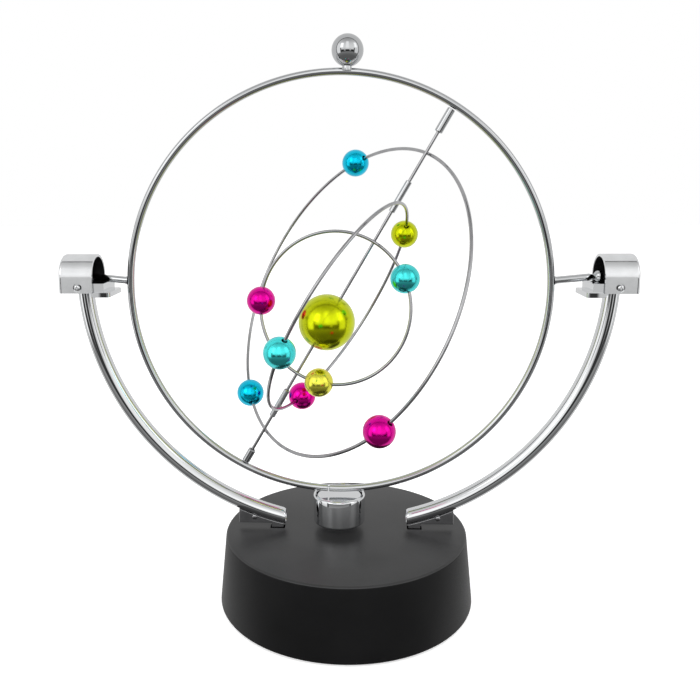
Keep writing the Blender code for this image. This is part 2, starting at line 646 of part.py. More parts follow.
def pod(carrier, home):
    """The magnet's cup under the ring's wire, its sunk cap, and the magnet inside."""
    x = RING_CENTRE.x
    foot = home @ Matrix.Translation((x, 0, 0))
    rounding = arc((POD_R - POD_EDGE_R, POD_BOTTOM_Z + POD_EDGE_R), POD_EDGE_R, 0, -90, 4)
    shoulder = arc((POD_R - POD_SHOULDER_R, POD_RIM_Z - POD_SHOULDER_R), POD_SHOULDER_R, 90, 0, 4)
    turned("magnet_cup", shoulder + rounding + [
        (0.0, POD_BOTTOM_Z), (0.0, POD_BOTTOM_Z + POD_WALL),
        (POD_R - POD_WALL, POD_BOTTOM_Z + POD_WALL), (POD_R - POD_WALL, POD_RIM_Z)],
        CHROME, carrier, foot, steps=28, ring=True)
    inner = POD_R - POD_WALL - GAP
    cap_top = POD_CAP_Z - GAP
    turned("magnet_cap", [(0.0, cap_top), (inner, cap_top), (inner, cap_top - CAP_THICK),
                          (0.0, cap_top - CAP_THICK)], CHROME, carrier, foot, steps=24)
    floor = POD_BOTTOM_Z + POD_WALL + GAP
    magnet_r = inner - 0.0004
    turned("magnet_disc", [(0.0, floor + MAGNET_THICK), (magnet_r, floor + MAGNET_THICK),
                           (magnet_r, floor), (0.0, floor)], NICKEL, carrier, foot, steps=24)


def axis_frame():
    """Place and tilt of the orbits' axis: its Z runs up along the axis."""
    tilt = Matrix.Rotation(AXIS_TILT, 4, 'Y')
    middle = RING_CENTRE + tilt @ Vector((AXIS_OFFSET, 0, 0))
    return Matrix.Translation(middle) @ tilt


def axis_sleeves(carrier):
    place = carrier.matrix_basis.inverted() @ axis_frame()
    for name, (low, high) in zip(("upper", "lower"), AXIS_SLEEVES):
        turned(f"axis_sleeve_{name}", tube_profile(AXIS_SLEEVE_R, AXIS_SLEEVE_BORE_R, low, high),
               CHROME, carrier, place, steps=14, ring=True)


# ---------------------------------------------------------------- orbits

def orbit(prefix, values, carrier):
    """A closed wire circle in a plane along the axis, with its beads, in the carrier's frame."""
    radius, middle, _, side_offset, slide, beads = values
    mesh = bpy.data.meshes.new(f"{prefix}_orbit_wire")
    shape = bmesh.new()
    bmesh.ops.create_circle(shape, segments=ORBIT_WIRE_SIDES, radius=ORBIT_WIRE_R,
                            matrix=Matrix.Translation((radius, 0, 0)) @ Matrix.Rotation(pi / 2, 4, 'X'))
    bmesh.ops.spin(shape, geom=shape.verts[:] + shape.edges[:], cent=(0, 0, 0), axis=(0, 0, 1),
                   angle=2 * pi, steps=ORBIT_STEPS[prefix], use_merge=True)
    bmesh.ops.remove_doubles(shape, verts=shape.verts, dist=0.000005)
    bmesh.ops.recalc_face_normals(shape, faces=shape.faces)
    centre = Vector((slide, side_offset, middle))
    lay = Matrix.Translation(centre) @ Matrix.Rotation(pi / 2, 4, 'X')
    bmesh.ops.transform(shape, matrix=lay, verts=shape.verts)
    shape.to_mesh(mesh)
    shape.free()
    mesh.shade_smooth()
    add(f"{prefix}_orbit_wire", mesh, CHROME, carrier, Matrix.Identity(4))
    sagitta = PLANET_R ** 2 / (2 * radius)
    for bead, degrees in beads:
        out = Vector((sin(radians(degrees)), 0, cos(radians(degrees))))
        turn = Matrix.Translation(centre + radius * out) @ Matrix.Rotation(radians(degrees + 90), 4, 'Y')
        ball = add(f"{prefix}_planet_{bead}", ball_mesh("planet", PLANET_R, 12, 8), BEAD[bead],
                   carrier, turn)
        reach = PLANET_R + 0.002
        cut(ball, rod_mesh("bore", PLANET_BORE_R, (sagitta / 2, 0, -reach), (sagitta / 2, 0, reach), 10))


def stub_shafts(carrier):
    for name, (low, high) in zip(("upper", "lower"), STUBS):
        add(f"stub_shaft_{name}", rod_mesh("stub", SHAFT_R, (0, 0, low), (0, 0, high), 10), CHROME,
            carrier, Matrix.Identity(4))


def middle_sleeves(carrier):
    for name, (low, high) in zip(("upper", "lower"), MIDDLE_SLEEVES):
        turned(f"middle_sleeve_{name}", tube_profile(MIDDLE_SLEEVE_R, MIDDLE_SLEEVE_BORE_R, low, high),
               CHROME, carrier, Matrix.Identity(4), steps=12, ring=True)


def inner_shaft_and_sun(carrier):
    low, high = INNER_SHAFT
    add("inner_shaft", rod_mesh("inner_shaft", SHAFT_R, (0, 0, low), (0, 0, high), 10), CHROME,
        carrier, Matrix.Identity(4))
    sun = add("sun", ball_mesh("sun", SUN_R, 24, 14), BEAD["lime"], carrier,
              Matrix.Translation((0, 0, SUN_PLACE)))
    cut(sun, rod_mesh("bore", SHAFT_R + GAP, (0, 0, -0.015), (0, 0, 0.015), 12))


def moving_bodies():
    swing = frame("swing_axis", Matrix.Translation((0, 0, HINGE_Z)))
    swing_ring(swing)
    axis_sleeves(swing)
    in_swing = swing.matrix_basis.inverted() @ axis_frame()
    carriers = {}
    for name, values in (("outer", OUTER_ORBIT), ("middle", MIDDLE_ORBIT), ("inner", INNER_ORBIT)):
        place = in_swing @ Matrix.Rotation(values[2], 4, 'Z')
        carriers[name] = frame(f"{name}_orbit_axis", place, swing)
    orbit("outer", OUTER_ORBIT, carriers["outer"])
    stub_shafts(carriers["outer"])
    orbit("middle", MIDDLE_ORBIT, carriers["middle"])
    middle_sleeves(carriers["middle"])
    orbit("inner", INNER_ORBIT, carriers["inner"])
    inner_shaft_and_sun(carriers["inner"])


base_shell()
bottom_plate()
base_fasteners()
coil()
circuit()
cells()
arms()
moving_bodies()
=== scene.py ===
"""Looks of the kinetic orbit desk toy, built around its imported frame. Metres, +Z up, front at -Y.

A chrome ring rocks on two pins above a black base. Three nested orbit wires with metallic
beads turn inside it on one tilted axis, and a magnet pod hangs over the coil in the base.
"""

import json
from math import asin, cos, pi, radians, sin, sqrt

import bmesh
import bpy
import numpy as np
from mathutils import Matrix, Quaternion, Vector


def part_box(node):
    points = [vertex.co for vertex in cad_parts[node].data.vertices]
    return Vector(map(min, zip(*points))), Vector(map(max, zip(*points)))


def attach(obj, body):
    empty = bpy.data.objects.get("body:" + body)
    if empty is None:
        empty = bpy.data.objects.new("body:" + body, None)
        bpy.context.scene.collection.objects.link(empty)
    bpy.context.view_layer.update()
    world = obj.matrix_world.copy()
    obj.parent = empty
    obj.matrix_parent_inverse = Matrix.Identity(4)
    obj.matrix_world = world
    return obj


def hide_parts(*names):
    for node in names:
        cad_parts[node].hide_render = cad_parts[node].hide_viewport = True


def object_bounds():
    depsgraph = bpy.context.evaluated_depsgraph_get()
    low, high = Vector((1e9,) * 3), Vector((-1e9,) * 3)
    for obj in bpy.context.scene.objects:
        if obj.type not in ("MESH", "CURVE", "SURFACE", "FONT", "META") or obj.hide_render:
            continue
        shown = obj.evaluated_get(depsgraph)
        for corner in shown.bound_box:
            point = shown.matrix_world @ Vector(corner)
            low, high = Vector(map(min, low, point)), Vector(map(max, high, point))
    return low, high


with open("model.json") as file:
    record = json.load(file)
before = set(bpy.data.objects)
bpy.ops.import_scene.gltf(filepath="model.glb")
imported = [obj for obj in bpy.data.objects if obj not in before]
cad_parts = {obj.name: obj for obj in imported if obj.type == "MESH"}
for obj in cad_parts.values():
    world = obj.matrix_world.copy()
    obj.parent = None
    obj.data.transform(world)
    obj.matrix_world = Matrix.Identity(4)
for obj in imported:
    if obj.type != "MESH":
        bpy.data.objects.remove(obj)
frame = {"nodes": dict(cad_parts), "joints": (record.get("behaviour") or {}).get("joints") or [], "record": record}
cad_low, cad_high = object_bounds()

X = Vector((1, 0, 0))
Y = Vector((0, 1, 0))
Z = Vector((0, 0, 1))
SIDES = (("left", -1), ("right", 1))

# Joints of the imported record: the hinge line of the ring and the orbits' tilted axis
JOINTS = {joint["name"]: joint for joint in frame["joints"]}
HINGE_Z = JOINTS["ring_swing"]["pos_m"][2]
AXIS_POINT = Vector(JOINTS["outer_orbit_spin"]["pos_m"])
AXIS = Vector(JOINTS["outer_orbit_spin"]["axis"]).normalized()

# Base
BASE_TOP_R = 0.0522
BASE_WALL = 0.0025
BASE_EDGE_R = 0.0011
BASE_FOOT_EDGE = 0.0006
SLOT_CLEARANCE = 0.0005
SLOT_EDGE = 0.0002
SIDE_FROM = 0.5                   # a base face is part of the side when its normal rises less
FOOT_PAD_EDGE = 0.0005
BOTTOM_SCREW_HEAD = (0.0028, 0.0009)    # radius and height of a screw's head
DOOR_SCREW_HEAD = (0.0026, 0.0009)
SCREW_SHANK = 0.45                # shank, recess length, width and depth, as parts of the head
RECESS_LONG = 0.62
RECESS_WIDE = 0.13
RECESS_DEEP = 0.62

# Arms and bearings
ARM_CENTRE_Z = 0.1433
ARM_ARC_R = 0.1100
ARM_TUBE_R = 0.0033
ARM_TUBE_WALL = 0.0008
TUBE_CUT = 0.0003                 # the upright cut lies this far out from the middle line's end
PLATE_CLEARANCE = 0.00005         # between the tube and the foot plate
PLATE_EDGE = 0.00035
PLATE_PAST_TAB = 0.001
RIVET_X = 0.0400
RIVET_Z = 0.0362
RIVET_R = 0.0011
RIVET_HIGH = 0.0004
HOOD_WALL = 0.0011
HOOD_END_ROUNDING = 0.0012
HOOD_EDGE = 0.00028
SUPPORT = 0.0002                  # row of points that keeps the hood flat up to its rounding
SADDLE_HIGH = 0.0038
SADDLE_IN_MOUTH = 0.0043          # how far the saddle stands out of the hood's mouth
TONGUE_THICK = 0.0020
TONGUE_CORNER_R = 0.0014
TONGUE_LONG = 0.0082
TROUGH_R = 0.0029
BEARING_GAP = 0.0003              # between the saddle and the hood
TONGUE_INSET = 0.0002             # keeps the tongue's faces off the saddle's
SADDLE_EDGE = 0.00022
HOOD_SCREW_HEAD = (0.00125, 0.0005)
COUNTERBORE_R = 0.0018
COUNTERBORE_DEEP = 0.0005

# Ring, pins, ball and pod
RING_R = 0.0877
RING_WIRE_R = 0.0015
RING_BUTT = 267.0                 # where the wire's two ends meet, in degrees from +X
RING_BUTT_HALF = 0.17
PIN_BALL_R = 0.0024
PIN_NECK_R = 0.0012
PIN_NECK_FROM = 0.0042            # the neck's start and end, from the ball's tip
PIN_NECK_TO = 0.0034
PIN_SUNK = 0.0004                 # the pin's weld reaches this far into the ring's wire
PIN_WELD = ((1.25, 0.0), (1.2, 0.0004), (1.0, 0.0011))    # radius in wire radii, distance
TOP_BALL_R = 0.0064
TOP_BALL_FOOT_R = 0.0021
TOP_BALL_FOOT_HIGH = 0.0010
TOP_BALL_SUNK = 0.2               # the foot reaches into the wire, in wire radii from its middle
POD_EDGE_R = 0.0014
POD_WALL = 0.0012
POD_SHOULDER_R = 0.0011
POD_LIP = 0.0002
CAP_EDGE = 0.0004

# Orbits and beads
WIRE_R = 0.0007
PLANET_R = 0.00608
PLANET_BORE_R = 0.0011
SUN_R = 0.0119
BORE_LIP_R = 0.00035
SUN_BORE_R = 0.00095
CHAMFER = 0.00022
WELD_R = 0.00062
WELD_LONG = 0.0009
WELD_PLACE = 0.42                 # of the way from the wire to the axis

# Camera and studio
CAMERA_PLACE = Vector((0.0024, -0.3220, 0.1804))
YAW = 1.95
PITCH = 9.26
ROLL = -0.23
LENS = 39.95
SHIFT = (0.0349, -0.0563)
LIGHT_DISTANCE = 0.9
# Softboxes: name, azimuth (0 is the camera's side), elevation, size and power
SOFTBOXES = (("key_top", 0, 38, 0.34, 3.2), ("fill_left", -52, 16, 0.30, 2.4),
             ("fill_right", 52, 16, 0.30, 2.4))
FLOOR_HALF = 3.0
FLOOR_DROP = 0.00005              # keeps the table top off the feet's faces
FLOOR_GLOW = 0.45
BACKDROP = 0.74                   # brightness of the white surroundings behind the toy
BACKDROP_EDGE = (-0.02, 0.015)    # where they begin, as the Y of a direction, and its softness
SEAM = 0.10                       # dark strip round the edge of the backdrop
SEAM_EDGE = (-0.11, 0.02)
# Studio in front, seen from the toy: brightness by elevation in degrees
ROOM_TONES = ((-90, 0.12), (-40, 0.15), (-24, 0.24), (-12, 0.45), (0, 0.95), (16, 1.05), (38, 0.92),
              (60, 0.60), (80, 0.46), (90, 0.55))
# Panels over it: brightness, azimuth from and to (0 is the camera's side), elevation from and to, softness
PANELS = (
    (0.04, -46, 46, -17, -2, 2.5),       # dark horizon
    (0.62, 14, 25, -10, 2, 1.5),         # pale strips in it
    (0.62, -25, -14, -10, 2, 1.5),
    (1.30, -12, 11, 8, 54, 6.0),         # key light
    (1.15, -80, -54, -19, 34, 3.0),      # left panel
    (0.95, 54, 82, -19, 34, 3.0),        # right panel
    (2.10, -52, -32, 12, 40, 4.0),       # left softbox
    (1.60, 52, 72, 12, 40, 4.0),         # right softbox
    (0.06, -53, -46, -20, 9, 1.5),       # edges of the panels' frames
    (0.05, 46, 53, -20, 9, 1.5),
)


# ---------------------------------------------------------------- mesh tools

def ring_of(centre, side, up, radius, corners=24):
    """Points of a circle about centre in the plane of side and up."""
    turns = [2 * pi * i / corners for i in range(corners)]
    return [centre + radius * (cos(a) * side + sin(a) * up) for a in turns]


def loft(shape, rings, closed=False):
    """Skins rings of equal length with quads; open rows of rings are capped at both ends."""
    rows = [[shape.verts.new(p) for p in ring] for ring in rings]
    count = len(rows[0])
    pairs = list(zip(rows, rows[1:])) + ([(rows[-1], rows[0])] if closed else [])
    for near, far in pairs:
        for i in range(count):
            j = (i + 1) % count
            shape.faces.new((near[i], near[j], far[j], far[i]))
    if not closed:
        shape.faces.new(list(reversed(rows[0])))
        shape.faces.new(rows[-1])


def solid(name, shape, sharp=35):
    """A mesh object from a bmesh, smooth but for its sharp edges, outward faces."""
    bmesh.ops.recalc_face_normals(shape, faces=shape.faces)
    mesh = bpy.data.meshes.new(name)
    shape.to_mesh(mesh)
    shape.free()
    mesh.shade_smooth()
    mesh.set_sharp_from_angle(angle=radians(sharp))
    made = bpy.data.objects.new(name, mesh)
    bpy.context.scene.collection.objects.link(made)
    return made


def across(axis):
    """Two unit vectors square to an axis and to each other."""
    side = axis.cross(Y)
    if side.length < 0.1:
        side = axis.cross(X)
    side.normalize()
    return side, axis.cross(side).normalized()


def turned(name, profile, origin=Vector(), axis=Z, corners=48, closed=False, sharp=35):
    """A body of revolution: profile is (radius, distance along the axis)."""
    side, up = across(axis)
    shape = bmesh.new()
    loft(shape, [ring_of(origin + t * axis, side, up, max(r, 0.000002), corners) for r, t in profile],
         closed)
    return solid(name, shape, sharp)


def arc(centre, radius, start, end, count):
    """Points on an arc in a plane, angles in degrees."""
    turns = [radians(start + (end - start) * i / (count - 1)) for i in range(count)]
    return [(centre[0] + radius * cos(a), centre[1] + radius * sin(a)) for a in turns]


def extruded(name, outline, place, half, sharp=35):
    """A flat outline with a thickness of twice half; place maps its plane to the world."""
    shape = bmesh.new()
    near = [place @ Vector((x, y, -half)) for x, y in outline]
    far = [place @ Vector((x, y, half)) for x, y in outline]
    loft(shape, [near, far])
    return solid(name, shape, sharp)


def block(name, low, high):
    """A box between two corners, used as a cutter or joined to other shapes."""
    outline = [(low[0], low[1]), (high[0], low[1]), (high[0], high[1]), (low[0], high[1])]
    middle = (low[2] + high[2]) / 2
    return extruded(name, outline, Matrix.Translation((0, 0, middle)), (high[2] - low[2]) / 2)


def combine(target, tool, operation='DIFFERENCE'):
    """Cuts or joins a tool with the target, and removes the tool."""
    step = target.modifiers.new(operation.lower(), 'BOOLEAN')
    step.object = tool
    step.operation = operation
    step.solver = 'EXACT'
    graph = bpy.context.evaluated_depsgraph_get()
    result = bpy.data.meshes.new_from_object(target.evaluated_get(graph))
    target.modifiers.clear()
    target.data = result
    bpy.data.objects.remove(tool, do_unlink=True)


def soften(target, width, segments=3):
    """Rounds a piece's sharp edges, as plating and tumbling leave them."""
    step = target.modifiers.new("rounded edges", 'BEVEL')
    step.width = width
    step.segments = segments
    step.limit_method = 'ANGLE'
    step.angle_limit = radians(40)
    step.harden_normals = True


def append(target, shape_object):
    """Adds another object's geometry to the target, as a separate shell of one piece."""
    shape = bmesh.new()
    shape.from_mesh(target.data)
    shape.from_mesh(shape_object.data)
    shape.to_mesh(target.data)
    shape.free()
    bpy.data.objects.remove(shape_object, do_unlink=True)


def fit(made, body, slot, *nodes, finish=None):
    """Puts a piece on its body in place of CAD nodes, with its slot's material or another finish."""
    made.data.materials.clear()
    made.data.materials.append(LOOKS[finish or slot])
    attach(made, body)
    if nodes:
        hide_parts(*nodes)


def centre_of(node):
    """Middle of a CAD node's box."""
    low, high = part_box(node)
    return (low + high) / 2


def reach(node, origin, axis):
    """A turned node's (low end, high end, inner radius, outer radius) about an axis."""
    places = [v.co - origin for v in frame["nodes"][node].data.vertices]
    along = [p.dot(axis) for p in places]
    out = [(p - p.dot(axis) * axis).length for p in places]
    return min(along), max(along), min(out), max(out)


# ---------------------------------------------------------------- materials

def look(name, colour, roughness, metallic, spread=0.12, patch=60.0, rough_spread=0.3,
         bump=0.0, bump_scale=900.0, stretch=(1, 1, 1), **sockets):
    """A procedural material: noise varies its colour and roughness, and raises fine bumps."""
    made = bpy.data.materials.new(name)
    made.use_nodes = True
    nodes, links = made.node_tree.nodes, made.node_tree.links
    shader = nodes["Principled BSDF"]
    shader.inputs["Metallic"].default_value = metallic
    for socket, value in sockets.items():
        shader.inputs[socket.replace("_", " ")].default_value = value
    place = nodes.new("ShaderNodeTexCoord")
    scale = nodes.new("ShaderNodeMapping")
    scale.inputs["Scale"].default_value = stretch
    links.new(place.outputs["Object"], scale.inputs["Vector"])
    patches = nodes.new("ShaderNodeTexNoise")
    patches.inputs["Scale"].default_value = patch
    patches.inputs["Detail"].default_value = 5
    links.new(scale.outputs["Vector"], patches.inputs["Vector"])
    tones = nodes.new("ShaderNodeValToRGB")
    tones.color_ramp.elements[0].position = 0.3
    tones.color_ramp.elements[1].position = 0.7
    tones.color_ramp.elements[0].color = (*[c * (1 - spread) for c in colour], 1)
    tones.color_ramp.elements[1].color = (*[min(1.0, c * (1 + spread)) for c in colour], 1)
    links.new(patches.outputs["Fac"], tones.inputs["Fac"])
    links.new(tones.outputs["Color"], shader.inputs["Base Color"])
    wear = nodes.new("ShaderNodeMapRange")
    wear.inputs["To Min"].default_value = roughness * (1 - rough_spread)
    wear.inputs["To Max"].default_value = roughness * (1 + rough_spread)
    fine = nodes.new("ShaderNodeTexNoise")
    fine.inputs["Scale"].default_value = bump_scale
    fine.inputs["Detail"].default_value = 3
    links.new(scale.outputs["Vector"], fine.inputs["Vector"])
    links.new(fine.outputs["Fac"], wear.inputs["Value"])
    links.new(wear.outputs["Result"], shader.inputs["Roughness"])
    if bump:
        relief = nodes.new("ShaderNodeBump")
        relief.inputs["Strength"].default_value = bump
        relief.inputs["Distance"].default_value = 0.0001
        links.new(fine.outputs["Fac"], relief.inputs["Height"])
        links.new(relief.outputs["Normal"], shader.inputs["Normal"])
    return made


def banded(name, colours, roughness, metallic, scale, direction):
    """A material whose colour runs in fine bands, for wound wire and wrapped cells."""
    made = look(name, colours[0], roughness, metallic)
    nodes, links = made.node_tree.nodes, made.node_tree.links
    wave = nodes.new("ShaderNodeTexWave")
    wave.bands_direction = direction
    wave.inputs["Scale"].default_value = scale
    wave.inputs["Distortion"].default_value = 0.4
    links.new(nodes["Mapping"].outputs["Vector"], wave.inputs["Vector"])
    tones = nodes["Color Ramp"].color_ramp
    tones.elements[0].color = (*colours[0], 1)
    tones.elements[1].color = (*colours[1], 1)
    links.new(wave.outputs["Fac"], nodes["Color Ramp"].inputs["Fac"])
    relief = nodes.new("ShaderNodeBump")
    relief.inputs["Strength"].default_value = 0.6
    relief.inputs["Distance"].default_value = 0.0001
    links.new(wave.outputs["Fac"], relief.inputs["Height"])
    links.new(relief.outputs["Normal"], nodes["Principled BSDF"].inputs["Normal"])
    return made


def plated(name, colour):
    """Coloured metallic plating on a moulded ball, with slight orange peel."""
    return look(name, colour, 0.20, 1.0, spread=0.14, patch=140.0, bump=0.30, bump_scale=260.0,
                Coat_Weight=0.08, Coat_Roughness=0.05)


LOOKS = {
    "chrome": look("polished_chrome", (0.78, 0.79, 0.80), 0.035, 1.0, spread=0.03, bump=0.05,
                   bump_scale=150.0),
    "ring_wire": look("plated_ring_wire", (0.58, 0.59, 0.60), 0.06, 1.0, spread=0.05, bump=0.06,
                      bump_scale=220.0),
    "thin_wire": look("drawn_steel_wire", (0.44, 0.44, 0.45), 0.10, 1.0, spread=0.12, patch=200.0),
    "hood_chrome": look("pressed_hood_chrome", (0.85, 0.86, 0.87), 0.13, 1.0, spread=0.05, patch=160.0,
                        bump=0.12, bump_scale=240.0),
    "foot_plate": look("stamped_foot_plate", (0.40, 0.40, 0.41), 0.16, 1.0, spread=0.12, patch=220.0),
    # painted shade: a near-black copy of the hood's metal, for the faces inside the hood
    "hood_inside_shade": look("hood_hollow_painted_shade", (0.05, 0.05, 0.052), 0.35, 0.9, bump=0.2),
    "steel": look("zinc_plated_steel", (0.55, 0.55, 0.56), 0.30, 1.0, bump=0.15),
    "capacitor_can": look("capacitor_sleeve", (0.03, 0.05, 0.14), 0.35, 0.0),
    "black_plastic": look("satin_black_plastic", (0.021, 0.021, 0.0215), 0.36, 0.0, spread=0.15,
                          bump=0.12, bump_scale=2600.0, Specular_IOR_Level=0.36),
    # painted shade: a darker, less glossy copy of the base's black plastic, for its side faces
    "black_side_shade": look("shaded_black_plastic_side", (0.004, 0.004, 0.0042), 0.42, 0.0, spread=0.15,
                       bump=0.12, bump_scale=2600.0, Specular_IOR_Level=0.14),
    "rubber": look("black_rubber", (0.022, 0.022, 0.022), 0.8, 0.0, bump=0.5, bump_scale=1500.0),
    "copper": banded("enamelled_copper", ((0.45, 0.14, 0.05), (0.80, 0.33, 0.14)), 0.3, 1.0, 900.0, 'Z'),
    "nylon": look("natural_nylon", (0.70, 0.68, 0.62), 0.45, 0.0, bump=0.1, Subsurface_Weight=0.1),
    "green_board": look("solder_mask", (0.02, 0.14, 0.05), 0.35, 0.0, spread=0.5, patch=300.0),
    "cell_wrap": banded("cell_wrap_film", ((0.04, 0.08, 0.26), (0.02, 0.02, 0.03)), 0.25, 0.2, 22.0, 'X'),
    "nickel": look("nickel_plate", (0.66, 0.62, 0.55), 0.22, 1.0, bump=0.1),
    "cyan_bead": plated("cyan_plating", (0.002, 0.62, 0.88)),
    "magenta_bead": plated("magenta_plating", (0.92, 0.002, 0.38)),
    "teal_bead": plated("teal_plating", (0.08, 0.90, 0.90)),
    "lime_bead": plated("lime_plating", (0.68, 0.77, 0.004)),
    "yellow_bead": plated("yellow_plating", (0.98, 0.87, 0.09)),
}


# ---------------------------------------------------------------- base

def base():
    """The drum: a moulded shell with a rounded top rim and a slot for each arm's tab."""
    low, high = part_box("base_shell")
    foot_r = (high.x - low.x) / 2
    top = high.z
    rim = arc((BASE_TOP_R - BASE_EDGE_R, top - BASE_EDGE_R), BASE_EDGE_R, 90, 0, 8)
    foot = arc((foot_r - BASE_FOOT_EDGE, low.z + BASE_FOOT_EDGE), BASE_FOOT_EDGE, 0, -90, 5)
    inner = [(foot_r - BASE_WALL, low.z), (BASE_TOP_R - BASE_WALL, top - BASE_WALL)]
    drum = turned("base_drum", [(0, top)] + rim + foot + inner + [(0, top - BASE_WALL)], corners=160)
    for name, _ in SIDES:
        tab_low, tab_high = tab_box(name)
        gap = Vector((SLOT_CLEARANCE, SLOT_CLEARANCE, 0))
        near, far = tab_low - gap, tab_high + gap
        combine(drum, block("slot", (near.x, near.y, top - 2 * BASE_WALL), (far.x, far.y, top + BASE_WALL)))
    soften(drum, SLOT_EDGE, 2)
    fit(drum, "stand", "black_plastic", "base_shell")
    # faces that rise less than SIDE_FROM get the darker copy: painted shade on the base's side
    drum.data.materials.append(LOOKS["black_side_shade"])
    for face in drum.data.polygons:
        face.material_index = int(face.normal.z < SIDE_FROM)
    feet_and_screws()


def tab_box(name):
    """The part of an arm's foot that goes down into the base."""
    node = frame["nodes"][f"arm_foot_{name}"]
    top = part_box("base_shell")[1].z
    places = [v.co for v in node.data.vertices if v.co.z < top]
    low = Vector([min(p[i] for p in places) for i in range(3)])
    high = Vector([max(p[i] for p in places) for i in range(3)])
    return low, high


def screw(node, slot, axis, head_r, head):
    """A pan-head screw of the stand with a cross recess; axis points out of its head."""
    low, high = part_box(node)
    size = high - low
    middle = (low + high) / 2
    length = abs(size.dot(axis))
    top = middle + axis * length / 2
    shank = head_r * SCREW_SHANK
    dome = [(head_r * cos(a) ** 0.6, head * (sin(a) - 1))
            for a in (radians(80 - 10 * i) for i in range(9))]
    made = turned(f"{node}_detail", [(0, 0)] + dome + [(shank, -head), (shank, -length)], top, axis, 32)
    side, up = across(axis)
    for arm, other in ((side, up), (up, side)):
        half = arm * head_r * RECESS_LONG + other * head_r * RECESS_WIDE + axis * head * RECESS_DEEP
        extent = Vector([abs(c) for c in half])
        combine(made, block("recess", top - extent, top + extent))
    fit(made, "stand", slot, node)


def feet_and_screws():
    """Rubber pads with rounded edges, and the screws under the base."""
    for number in range(1, 5):
        low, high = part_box(f"rubber_foot_{number}")
        middle = (low + high) / 2
        radius = (high.x - low.x) / 2
        lower = arc((radius - FOOT_PAD_EDGE, low.z + FOOT_PAD_EDGE), FOOT_PAD_EDGE, -90, 0, 5)
        pad = turned(f"foot_pad_{number}", [(0, low.z)] + lower + [(radius, high.z), (0, high.z)],
                     Vector((middle.x, middle.y, 0)))
        fit(pad, "stand", "rubber", f"rubber_foot_{number}")
    for number in range(1, 4):
        screw(f"bottom_screw_{number}", "steel", -Z, *BOTTOM_SCREW_HEAD)
    screw("battery_door_screw", "steel", -Z, *DOOR_SCREW_HEAD)


# ---------------------------------------------------------------- arms and bearings

def arm_place(turn, side):
    """Point of an arm's middle line and its direction there, turned from straight down."""
    point = Vector((side * ARM_ARC_R * sin(turn), 0, ARM_CENTRE_Z - ARM_ARC_R * cos(turn)))
    return point, Vector((side * cos(turn), 0, sin(turn)))


def arm_tube(name, side):
    """A bent chrome tube, open at its inner end, which is cut upright."""
    node = f"arm_{name}"
    low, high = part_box(node)
    inner_x = (low.x if side > 0 else -high.x) + ARM_TUBE_R * ((ARM_CENTRE_Z - low.z) / ARM_ARC_R - 1)
    first = asin(inner_x / ARM_ARC_R)
    last = pi / 2 - asin((ARM_CENTRE_Z - high.z) / ARM_ARC_R)
    count = 72
    turns = [first + (last - first) * i / (count - 1) for i in range(count)]
    lip = CHAMFER / ARM_ARC_R
    bore = ARM_TUBE_R - ARM_TUBE_WALL
    stations = [(first, ARM_TUBE_R - CHAMFER), (first + lip, ARM_TUBE_R)]
    stations += [(t, ARM_TUBE_R) for t in turns[1:-1]]
    stations += [(last - lip, ARM_TUBE_R), (last, ARM_TUBE_R - CHAMFER), (last, bore)]
    stations += [(t, bore) for t in reversed(turns[1:-1])] + [(first, bore)]
    shape = bmesh.new()
    rings = []
    for turn, radius in stations:
        point, along = arm_place(turn, side)
        ring = ring_of(point, Y, along.cross(Y), radius, 40)
        if turn < first + 1.5 * lip:
            cut_x = side * (inner_x + TUBE_CUT + (turn - first) * ARM_ARC_R)
            ring = [Vector((cut_x, p.y, p.z)) for p in ring]
        rings.append(ring)
    loft(shape, rings, closed=True)
    fit(solid(f"arm_tube_{name}", shape), "stand", "chrome", node)


def arm_foot(name, side):
    """The plate under the tube's low end, with the tab that goes into the base."""
    node = f"arm_foot_{name}"
    low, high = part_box(node)
    inner, outer = sorted((abs(low.x), abs(high.x)))
    tab_low, tab_high = tab_box(name)
    tab_outer = max(abs(tab_low.x), abs(tab_high.x))
    places = [v.co for v in frame["nodes"][node].data.vertices]
    plate_z = min(p.z for p in places if abs(p.x) > tab_outer + PLATE_PAST_TAB)
    count = 14
    outline = []
    for i in range(count):
        x = inner + (outer - inner) * i / (count - 1)
        turn = asin(x / ARM_ARC_R)
        middle_z = ARM_CENTRE_Z - ARM_ARC_R * cos(turn)
        outline.append((x, middle_z - (ARM_TUBE_R + PLATE_CLEARANCE) / cos(turn)))
    outline += [(outer, plate_z), (tab_outer, plate_z), (tab_outer, low.z), (inner, low.z)]
    onto_xz = Matrix(((side, 0, 0, 0), (0, 0, 1, 0), (0, 1, 0, 0), (0, 0, 0, 1)))
    half = (high.y - low.y) / 2
    plate = extruded(f"arm_foot_plate_{name}", outline, onto_xz, half)
    soften(plate, PLATE_EDGE)
    rivet = [(0, RIVET_HIGH), (RIVET_R * 0.55, RIVET_HIGH * 0.9), (RIVET_R * 0.85, RIVET_HIGH * 0.55),
             (RIVET_R, 0), (RIVET_R, -2 * half), (RIVET_R * 0.85, -2 * half - RIVET_HIGH * 0.55),
             (0, -2 * half - RIVET_HIGH)]
    append(plate, turned("rivet", rivet, Vector((side * RIVET_X, -half, RIVET_Z)), -Y, 24))
    fit(plate, "stand", "chrome", node, finish="foot_plate")


